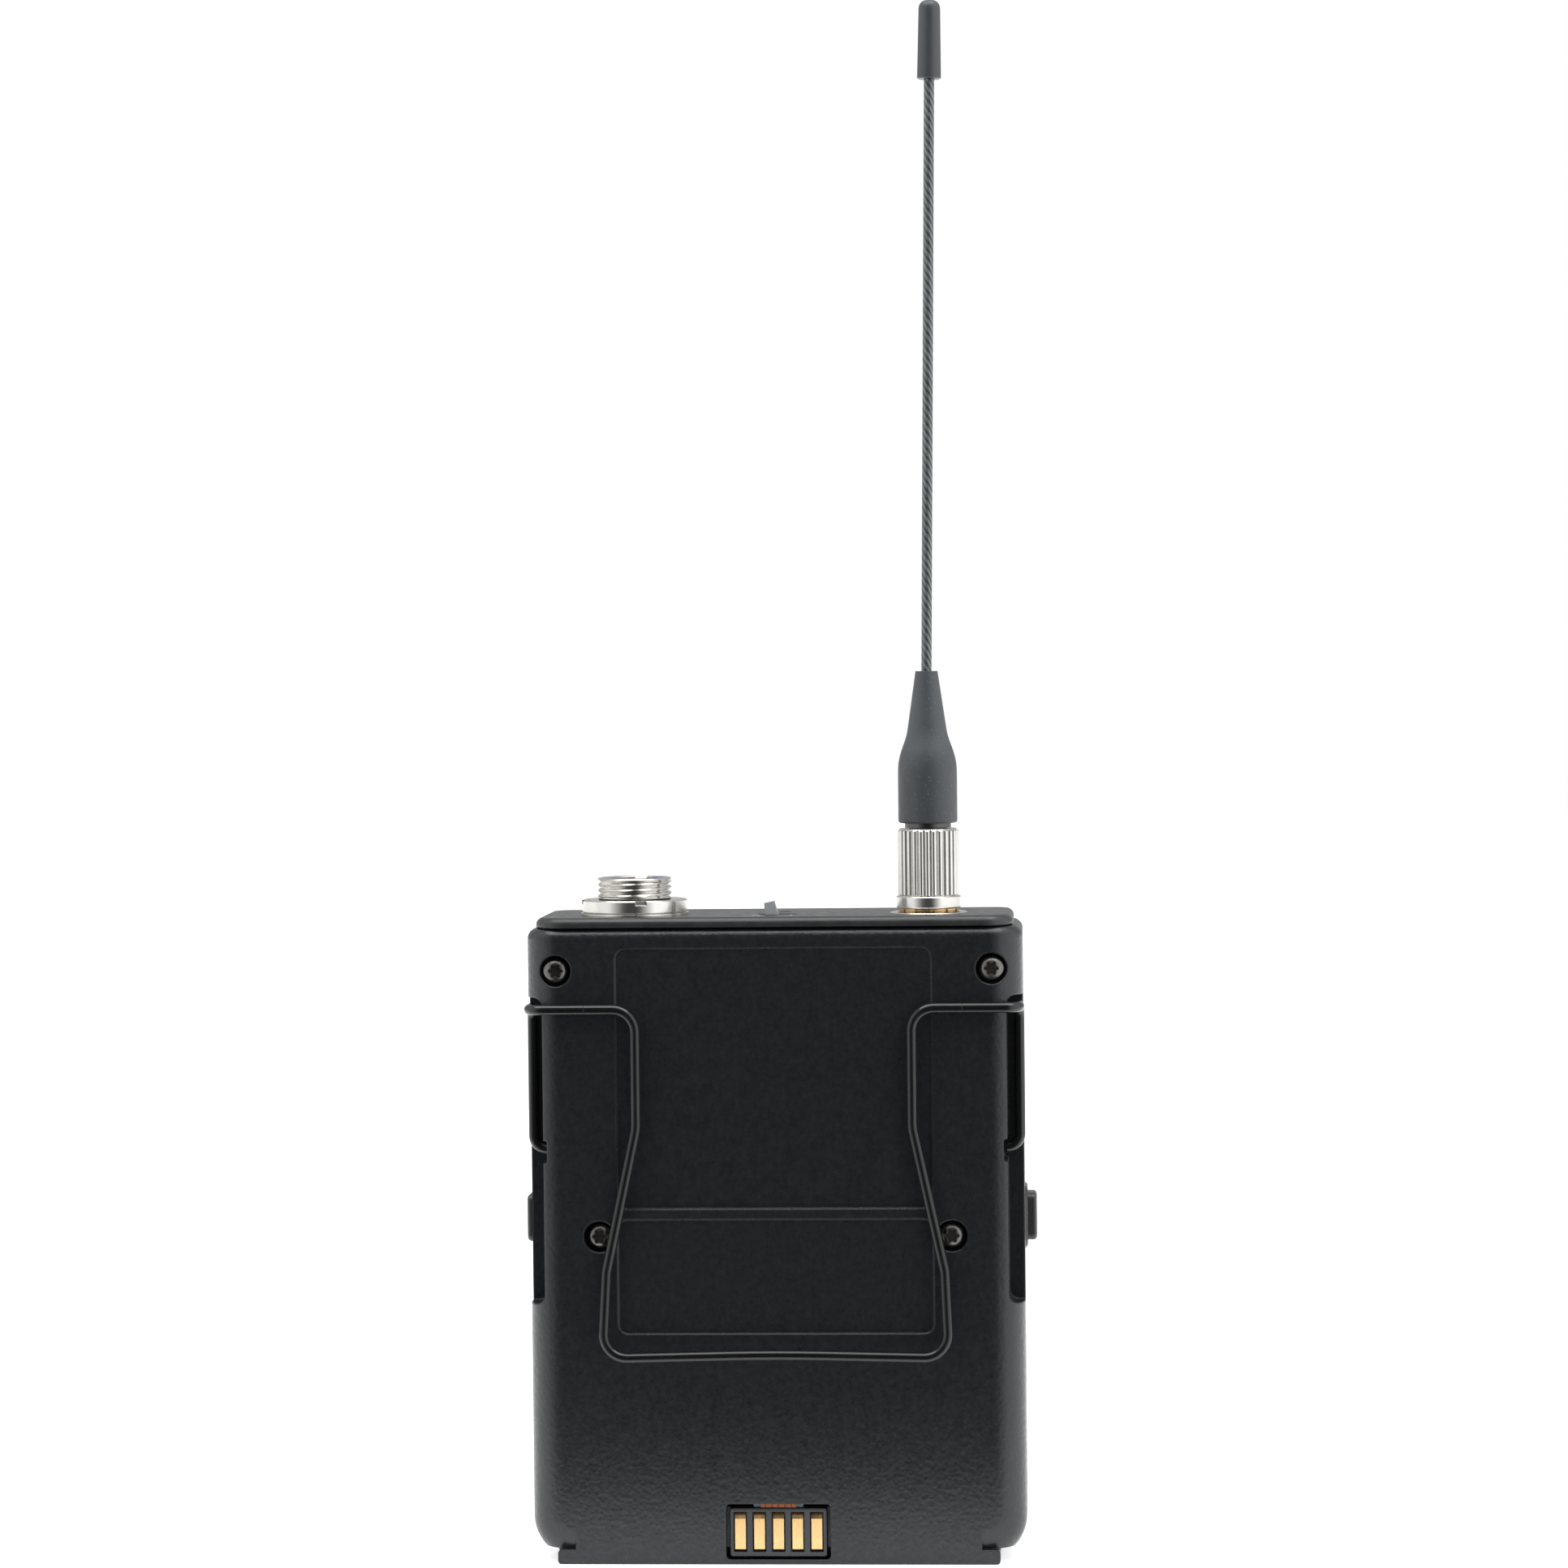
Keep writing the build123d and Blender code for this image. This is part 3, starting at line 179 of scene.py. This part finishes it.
def metal(name, color, roughness, lines=(300.0, 300.0, 9000.0), depth=1.5e-6, wear=0.10):
    """Plated or bare metal with fine tool marks along one direction and faint stains."""
    t = Tree(name)
    marks = t.noise(1.0, 3.0, 0.7, t.stretched(lines))
    stains = t.noise(420.0, 4.0, 0.6)
    t.link(t.ramp(stains, [(0.3, shade(color, 1 - wear)), (0.7, color)]), t.shader.inputs["Base Color"])
    t.shader.inputs["Metallic"].default_value = 1.0
    t.link(t.between(stains, roughness * 0.7, roughness * 1.35, 0.3, 0.7), t.shader.inputs["Roughness"])
    t.bump([(marks, depth, 0.8)], bevel=0.00008)
    return t.material


# ------------------------------------------------------------------ materials
def powder_coat():
    """Fine leather-like powder coat on the cast shells and the top plate."""
    t = Tree("powder_coat")
    warp = t.noise(900.0, 2.0, 0.5)
    hide = t.cells(1700.0)
    grain = t.noise(3400.0, 3.0, 0.6)
    swell = t.noise(260.0, 2.0)
    dark, light = (0.0070, 0.0086, 0.0102), (0.0104, 0.0126, 0.0148)
    tint = t.ramp(t.noise(520.0, 4.0, 0.6), [(0.3, dark), (0.7, light)])
    t.link(tint, t.shader.inputs["Base Color"])
    t.link(t.between(t.noise(1500.0, 3.0), 0.27, 0.36), t.shader.inputs["Roughness"])
    t.shader.inputs["Specular IOR Level"].default_value = 0.5
    relief = [(swell, 3.0e-5, 0.35), (hide, 4.5e-5, 0.55), (warp, 4.0e-5, 0.5), (grain, 1.0e-5, 0.5)]
    t.bump(relief, bevel=0.00035)
    return t.material


def strands():
    """Twisted steel strands seen through a dark glossy jacket, coloured with painted shade in the gaps between
    strands and a painted highlight on each strand's crown. The strands turn with the piece's own UVs.
    """
    t = Tree("whip_strands")
    split = t.node("ShaderNodeSeparateXYZ")
    t.link(t.coords.outputs["UV"], split.inputs["Vector"])
    around = t.math("MULTIPLY", split.outputs["X"], STRANDS * 2 * math.pi)
    along = t.math("MULTIPLY", split.outputs["Y"], 2 * math.pi)
    phase = t.math("ADD", around, along)
    lobe = t.math("ABSOLUTE", t.math("SINE", t.math("MULTIPLY", phase, 0.5)))
    blotch = t.noise(800.0, 3.0, 0.6)
    # painted shading across each strand: the gap colour is painted shade between strands, the side colour the
    # half-lit flank, the crown colour a painted highlight
    gap, side, painted_crown_highlight = (0.006, 0.007, 0.008), (0.075, 0.083, 0.088), (0.16, 0.175, 0.18)
    # ramp over the strand profile paints shade into the gaps and a highlight onto the crowns
    painted_strand_shading = t.ramp(lobe, [(0.22, gap), (0.55, side), (0.95, painted_crown_highlight)])
    mixed = t.node("ShaderNodeMix", data_type="RGBA", blend_type="MULTIPLY")
    mixed.inputs["Factor"].default_value = 0.6
    t.link(painted_strand_shading, mixed.inputs["A"])
    t.link(t.ramp(blotch, [(0.3, (0.45, 0.47, 0.48)), (0.6, (1.0, 1.0, 1.0))]), mixed.inputs["B"])
    t.link(mixed.outputs["Result"], t.shader.inputs["Base Color"])
    t.link(t.between(blotch, 0.35, 0.5), t.shader.inputs["Roughness"])
    t.shader.inputs["Metallic"].default_value = 0.35
    t.shader.inputs["Coat Weight"].default_value = 0.9
    t.shader.inputs["Coat Roughness"].default_value = 0.16
    t.bump([(lobe, 1.2e-4, 0.8)])
    return t.material


def glass(name, color, roughness):
    """Clear or smoked window with a faint hard-coat grain and smears."""
    t = Tree(name)
    tint = t.ramp(t.noise(160.0, 3.0), [(0.3, shade(color, 0.9)), (0.7, color)])
    t.link(tint, t.shader.inputs["Base Color"])
    t.shader.inputs["Transmission Weight"].default_value = 1.0
    t.shader.inputs["IOR"].default_value = 1.49
    t.link(t.between(t.noise(300.0, 4.0), roughness, roughness + 0.06), t.shader.inputs["Roughness"])
    return t.material


def flex_print():
    """Amber polyimide with dark gaps between the traces, which run along the strip."""
    t = Tree("flex_amber")
    split = t.node("ShaderNodeSeparateXYZ")
    t.link(t.coords.outputs["Object"], split.inputs["Vector"])
    trace_pitch = 0.00086
    lines = t.math("ABSOLUTE", t.math("SINE", t.math("MULTIPLY", split.outputs["X"], math.pi / trace_pitch)))
    tint = t.ramp(lines, [(0.16, (0.035, 0.008, 0.002)), (0.34, (0.33, 0.075, 0.012))])
    t.link(tint, t.shader.inputs["Base Color"])
    t.shader.inputs["Roughness"].default_value = 0.28
    t.bump([(lines, 2.0e-5, 0.6), (t.noise(1800.0, 2.0), 6.0e-6, 0.5)])
    return t.material


def board():
    """Green solder mask over a pattern of tracks."""
    t = Tree("board_green")
    tracks = t.node("ShaderNodeTexBrick")
    tracks.inputs["Scale"].default_value = 260.0
    tracks.inputs["Mortar Size"].default_value = 0.06
    tracks.inputs["Color1"].default_value = (0.012, 0.085, 0.042, 1)
    tracks.inputs["Color2"].default_value = (0.018, 0.105, 0.052, 1)
    tracks.inputs["Mortar"].default_value = (0.03, 0.17, 0.085, 1)
    t.link(t.coords.outputs["Object"], tracks.inputs["Vector"])
    t.link(tracks.outputs["Color"], t.shader.inputs["Base Color"])
    t.shader.inputs["Roughness"].default_value = 0.3
    t.bump([(t.noise(900.0, 2.0), 1.0e-5, 0.5)])
    return t.material


looks = {
    "case_black": powder_coat(),
    "cap_black": moulded("cap_black", (0.0190, 0.0205, 0.0215), 0.34, 3000.0, 1.6e-5),
    "screw_black": metal(
        "screw_black", (0.19, 0.185, 0.17), 0.27, lines=(2500.0, 60.0, 2500.0), depth=3.0e-6, wear=0.45
    ),
    "clip_wire": moulded("clip_wire", (0.0048, 0.0052, 0.0056), 0.17, 1500.0, 1.5e-6),
    "nickel": metal("nickel", (0.67, 0.655, 0.625), 0.17, lines=(350.0, 350.0, 14000.0), depth=1.6e-6),
    "dark_nickel": metal("dark_nickel", (0.10, 0.10, 0.10), 0.32),
    "gold": metal("gold", (0.80, 0.53, 0.245), 0.27, lines=(9000.0, 300.0, 300.0), depth=2.2e-6, wear=0.14),
    "insulator_blue": moulded("insulator_blue", (0.035, 0.135, 0.62), 0.38, 2400.0, 6.0e-6),
    "ptfe": moulded("ptfe", (0.80, 0.80, 0.78), 0.45, 1400.0, 8.0e-6, vary=0.04),
    "boot_rubber": moulded(
        "boot_rubber", (0.050, 0.056, 0.062), 0.50, 3600.0, 2.2e-5, specks=(0.22, 0.24, 0.25)
    ),
    "whip_jacket": strands(),
    "tip_plastic": moulded("tip_plastic", (0.040, 0.044, 0.048), 0.38, 2600.0, 7.0e-6),
    "lever_grey": moulded("lever_grey", (0.36, 0.385, 0.40), 0.42, 2000.0, 8.0e-6, vary=0.06),
    "switch_black": moulded("switch_black", (0.02, 0.02, 0.021), 0.45),
    "light_pipe": moulded("light_pipe", (0.022, 0.027, 0.023), 0.16, 900.0, 2.0e-6, 0.6),
    "board_green": board(),
    "tin": metal("tin", (0.62, 0.62, 0.60), 0.30),
    "chip_black": moulded("chip_black", (0.022, 0.022, 0.024), 0.5),
    "display_dark": moulded("display_dark", (0.045, 0.058, 0.050), 0.20, 1200.0, 2.0e-6, 0.4),
    "window_glass": glass("window_glass", (0.72, 0.75, 0.75), 0.02),
    "infrared_dark": moulded("infrared_dark", (0.020, 0.004, 0.006), 0.12, 900.0, 2.0e-6, 0.8),
    "key_grey": moulded("key_grey", (0.052, 0.055, 0.058), 0.44, 2200.0, 1.0e-5),
    "tray_black": moulded("tray_black", (0.020, 0.020, 0.021), 0.42, 1800.0, 1.4e-5),
    "battery_wrap": moulded("battery_wrap", (0.085, 0.09, 0.095), 0.40, 1500.0, 1.2e-5),
    "spring_steel": metal("spring_steel", (0.50, 0.50, 0.49), 0.28),
    "foam": moulded("foam", (0.018, 0.018, 0.018), 0.9, 1700.0, 9.0e-5, vary=0.35),
    "latch_black": moulded("latch_black", (0.030, 0.031, 0.030), 0.36, 2200.0, 1.0e-5),
    "block_black": moulded("block_black", (0.030, 0.0325, 0.036), 0.40, 2400.0, 1.0e-5),
    "flex_amber": flex_print(),
    "stiffener_blue": moulded("stiffener_blue", (0.10, 0.15, 0.18), 0.35, 1500.0, 8.0e-6),
    "print_white": moulded("print_white", (0.62, 0.63, 0.62), 0.5, 5200.0, 6.0e-6, vary=0.18),
}
slot_of = {row["node"]: row["material_slot"] for row in frame["record"]["subparts"]}
for name, cad in nodes.items():
    cad.data.materials.clear()
    cad.data.materials.append(looks[slot_of[name]])
    for polygon in cad.data.polygons:
        polygon.material_index = 0


# ------------------------------------------------------------------ pieces
def mesh_piece(name, verts, faces, look, smooth=True, uvs=None):
    mesh = bpy.data.meshes.new(name)
    mesh.from_pydata(verts, [], faces)
    if uvs:
        layer = mesh.uv_layers.new(name="UVMap")
        for loop in mesh.loops:
            layer.data[loop.index].uv = uvs[loop.vertex_index]
    mesh.polygons.foreach_set("use_smooth", [smooth] * len(mesh.polygons))
    mesh.update()
    made = bpy.data.objects.new(name, mesh)
    bpy.context.scene.collection.objects.link(made)
    mesh.materials.append(looks[look])
    return made


def turned_thread(name, centre, look, body, profile, thread, notch=None):
    """Turned sleeve with a real right-hand helical thread on its outside.

    profile: (radius, z) outline from the outer bottom, over the rim and down the bore, in mm.
    thread: (crest radius, depth, pitch, z from, z to) in mm. notch: (angle, half width in mm, z of its floor in mm).
    """
    around = 120
    crest, depth, pitch, z0, z1 = thread
    outline = []
    for (r_a, z_a), (r_b, z_b) in zip(profile, profile[1:]):
        threaded = abs(r_a - crest) < 0.01 and abs(r_b - crest) < 0.01
        parts = max(1, int(abs(z_b - z_a) / (pitch / 12))) if threaded else 1
        outline += [(r_a + (r_b - r_a) * i / parts, z_a + (z_b - z_a) * i / parts) for i in range(parts)]
    outline.append(profile[-1])
    verts = []
    for r, z in outline:
        for i in range(around):
            angle = 2 * math.pi * i / around
            radius, height = r, z
            if z0 <= z <= z1 and r > crest - 0.6:
                turn = ((z - z0) / pitch - i / around) % 1.0
                wave = abs(2 * turn - 1)
                # flats at root and crest, and the thread runs out at both ends
                flank = min(1.0, max(0.0, (wave - 0.10) / 0.80))
                fade = min(1.0, (z - z0) / (0.3 * pitch), (z1 - z) / (0.25 * pitch))
                radius = min(r, crest - depth * (1 - flank) * max(0.0, fade))
            if notch:
                side, half, top = notch
                offset = (angle - side + math.pi) % (2 * math.pi) - math.pi
                if abs(offset) * crest < half:
                    height = min(height, top)
            x = centre.x + radius * math.cos(angle) / 1000
            y = centre.y + radius * math.sin(angle) / 1000
            verts.append((x, y, height / 1000))
    rows = len(outline)
    faces = []
    for k in range(rows - 1):
        for i in range(around):
            j = (i + 1) % around
            faces.append((k * around + i, k * around + j, (k + 1) * around + j, (k + 1) * around + i))
    for i in range(around):
        j = (i + 1) % around
        faces.append(((rows - 1) * around + i, (rows - 1) * around + j, j, i))
    made = mesh_piece(name, verts, faces, look)
    made.data.set_sharp_from_angle(angle=math.radians(42.0))
    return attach(made, body)


input_thread = turned_thread(
    "input_barrel_thread",
    INPUT,
    "nickel",
    "housing",
    [
        (4.9, 82.0), (4.9, 87.5), (4.62, 87.6), (4.62, 88.1), (5.0, 88.25), (5.0, 90.77),
        (4.82, 91.01), (4.62, 91.05), (4.36, 91.03), (4.2, 90.87), (4.2, 82.0),
    ],
    (5.0, 0.36, 0.75, 88.15, 90.75),
    notch=(math.radians(85), 0.95, 90.55),
)
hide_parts("input_barrel")

jack_thread = turned_thread(
    "antenna_jack_thread",
    ANTENNA,
    "gold",
    "housing",
    [(3.175, 80.0), (3.175, 91.8), (2.975, 92.0), (2.05, 92.0), (2.05, 80.0)],
    (3.175, 0.33, 0.7056, 86.62, 91.8),
)
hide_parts("sma_jack_body")


def whip_cable():
    """One twisted cable from inside the boot to the tip cap; its UVs carry the lay of the strands."""
    around, step = 28, 0.0006
    low, high = WHIP_FOOT_Z - 0.004, WHIP_TOP_Z
    count = int((high - low) / step)
    verts, uvs, faces = [], [], []
    for k in range(count + 1):
        z = low + (high - low) * k / count
        x = ANTENNA.x + (z - WHIP_FOOT_Z) * math.tan(WHIP_LEAN)
        turned = (z - low) / STRAND_LAY * STRANDS
        for i in range(around + 1):
            share = i / around
            angle = 2 * math.pi * share
            lobes = 1.0 - 0.035 * (1 - abs(math.sin(math.pi * (STRANDS * share + turned))))
            radius = WHIP_R * lobes
            verts.append((x + radius * math.cos(angle), ANTENNA.y + radius * math.sin(angle), z))
            uvs.append((share, turned))
    for k in range(count):
        for i in range(around):
            a = k * (around + 1) + i
            faces.append((a, a + 1, a + around + 2, a + around + 1))
    return mesh_piece("whip_cable", verts, faces, "whip_jacket", uvs=uvs)


cable = whip_cable()
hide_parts("whip_lower", "whip_upper")
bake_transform(cable)


def latch_coil(side):
    """Copy of a latch spring, baked into world space, that stands in for the CAD spring, which is hidden."""
    cad = nodes[f"latch_spring_{side}"]
    mesh = cad.data.copy()
    mesh.transform(cad.matrix_world)
    coil = bpy.data.objects.new(f"latch_coil_{side}", mesh)
    bpy.context.scene.collection.objects.link(coil)
    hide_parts(f"latch_spring_{side}")
    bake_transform(coil)


latch_coil("left")
latch_coil("right")


def printed_mark(name, outline_pairs, z):
    """Thin raised print on the top plate from pairs of (inner, outer) outline points, in mm."""
    verts, faces = [], []
    for (xa, ya), (xb, yb) in outline_pairs:
        verts += [(xa / 1000, ya / 1000, z), (xb / 1000, yb / 1000, z)]
    for k in range(len(outline_pairs) - 1):
        faces.append((2 * k, 2 * k + 1, 2 * k + 3, 2 * k + 2))
    made = mesh_piece(name, verts, faces, "print_white", smooth=False)
    thick = made.modifiers.new("film", "SOLIDIFY")
    thick.thickness = 0.00002
    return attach(made, "housing")


def ring_point(radius, angle):
    """Point on a circle about the middle of the off mark, in mm."""
    return (-2.4 + radius * math.cos(angle), -7.7 + radius * math.sin(angle))


PRINT_Z = 0.08602
angles = [2 * math.pi * i / 32 for i in range(33)]
printed_mark("mark_off", [(ring_point(0.36, a), ring_point(0.56, a)) for a in angles], PRINT_Z)
printed_mark("mark_on", [((2.15, -7.15), (2.4, -7.15)), ((2.15, -8.25), (2.4, -8.25))], PRINT_Z)


# ------------------------------------------------------------------ studio
def plane(name, corners, look):
    mesh = bpy.data.meshes.new(name)
    mesh.from_pydata(corners, [], [(0, 1, 2, 3)])
    made = bpy.data.objects.new(name, mesh)
    bpy.context.scene.collection.objects.link(made)
    mesh.materials.append(look)
    return made


def floor_look():
    """White floor that glows a little, so that it reads as pure white with only a faint shadow."""
    t = Tree("floor_white")
    tint = t.ramp(t.noise(3.0, 2.0), [(0.3, (0.89, 0.89, 0.89)), (0.7, (0.91, 0.91, 0.91))])
    t.link(tint, t.shader.inputs["Base Color"])
    t.shader.inputs["Roughness"].default_value = 0.8
    t.shader.inputs["Specular IOR Level"].default_value = 0.1
    t.shader.inputs["Emission Color"].default_value = (1, 1, 1, 1)
    t.shader.inputs["Emission Strength"].default_value = 0.62
    return t.material


plane("floor", [(-3, -0.05, 0), (3, -0.05, 0), (3, 3, 0), (-3, 3, 0)], floor_look())


def softbox(name, place, target, size, power):
    data = bpy.data.lights.new(name, "AREA")
    data.shape = "RECTANGLE"
    data.size, data.size_y = size
    data.energy = power
    made = bpy.data.objects.new(name, data)
    made.location = place
    made.rotation_euler = (Vector(target) - Vector(place)).to_track_quat("-Z", "Y").to_euler()
    made.visible_camera = False
    bpy.context.scene.collection.objects.link(made)


def studio_world():
    """White to the camera. Reflections see bright sides, a dark gap behind the camera and a dimmer far side."""
    world = bpy.data.worlds.new("studio")
    bpy.context.scene.world = world
    world.use_nodes = True
    tree_nodes, links = world.node_tree.nodes, world.node_tree.links
    tree_nodes.clear()
    coords = tree_nodes.new("ShaderNodeTexCoord")
    split = tree_nodes.new("ShaderNodeSeparateXYZ")
    links.new(coords.outputs["Generated"], split.inputs["Vector"])
    turn = tree_nodes.new("ShaderNodeMath")
    turn.operation = "ARCTAN2"
    links.new(split.outputs["X"], turn.inputs[0])
    away = tree_nodes.new("ShaderNodeMath")
    away.operation = "MULTIPLY"
    away.inputs[1].default_value = -1.0
    links.new(split.outputs["Y"], away.inputs[0])
    links.new(away.outputs[0], turn.inputs[1])
    share = tree_nodes.new("ShaderNodeMath")
    share.operation = "MULTIPLY_ADD"
    share.inputs[1].default_value = 0.5 / math.pi
    share.inputs[2].default_value = 0.5
    links.new(turn.outputs[0], share.inputs[0])
    band = tree_nodes.new("ShaderNodeValToRGB")
    # degrees round from the camera's side, + to the right, and brightness there
    stops = [
        (-180, 0.55), (-125, 0.60), (-105, 1.30), (-54, 1.25), (-34, 0.50), (-20, 0.14), (-8, 0.07),
        (8, 0.07), (17, 0.14), (30, 0.62), (48, 1.6), (105, 1.6), (125, 0.60), (180, 0.55),
    ]
    while len(band.color_ramp.elements) < len(stops):
        band.color_ramp.elements.new(0.5)
    for element, (degrees, level) in zip(band.color_ramp.elements, stops):
        element.position = 0.5 + degrees / 360
        element.color = (level, level, level, 1)
    links.new(share.outputs[0], band.inputs["Fac"])
    lit = tree_nodes.new("ShaderNodeBackground")
    links.new(band.outputs["Color"], lit.inputs["Color"])
    seen = tree_nodes.new("ShaderNodeBackground")
    seen.inputs["Color"].default_value = (1, 1, 1, 1)
    path = tree_nodes.new("ShaderNodeLightPath")
    pick = tree_nodes.new("ShaderNodeMixShader")
    links.new(path.outputs["Is Camera Ray"], pick.inputs["Fac"])
    links.new(lit.outputs[0], pick.inputs[1])
    links.new(seen.outputs[0], pick.inputs[2])
    out = tree_nodes.new("ShaderNodeOutputWorld")
    links.new(pick.outputs[0], out.inputs["Surface"])


studio_world()
softbox("top_light", (0.0, -0.15, 0.75), (0, 0, 0.1), (0.9, 0.6), 6.0)
bpy.context.scene.view_settings.view_transform = "Standard"

camera_data = bpy.data.cameras.new("camera")
camera_data.lens = 102.51
camera_data.sensor_width = 36.0
camera_data.clip_start = 0.01
camera_data.clip_end = 20.0
camera = bpy.data.objects.new("camera", camera_data)
bpy.context.scene.collection.objects.link(camera)
bpy.context.scene.camera = camera
camera.location = (0.03656, -0.6, 0.11788)
PITCH, ROLL, YAW = math.radians(-1.39), math.radians(0.60), math.radians(3.3815)
aim = Euler((0, 0, YAW)).to_matrix() @ Euler((PITCH, 0, 0)).to_matrix() @ Euler((0, ROLL, 0)).to_matrix()
camera.rotation_euler = (aim @ Euler((math.pi / 2, 0, 0)).to_matrix()).to_euler()
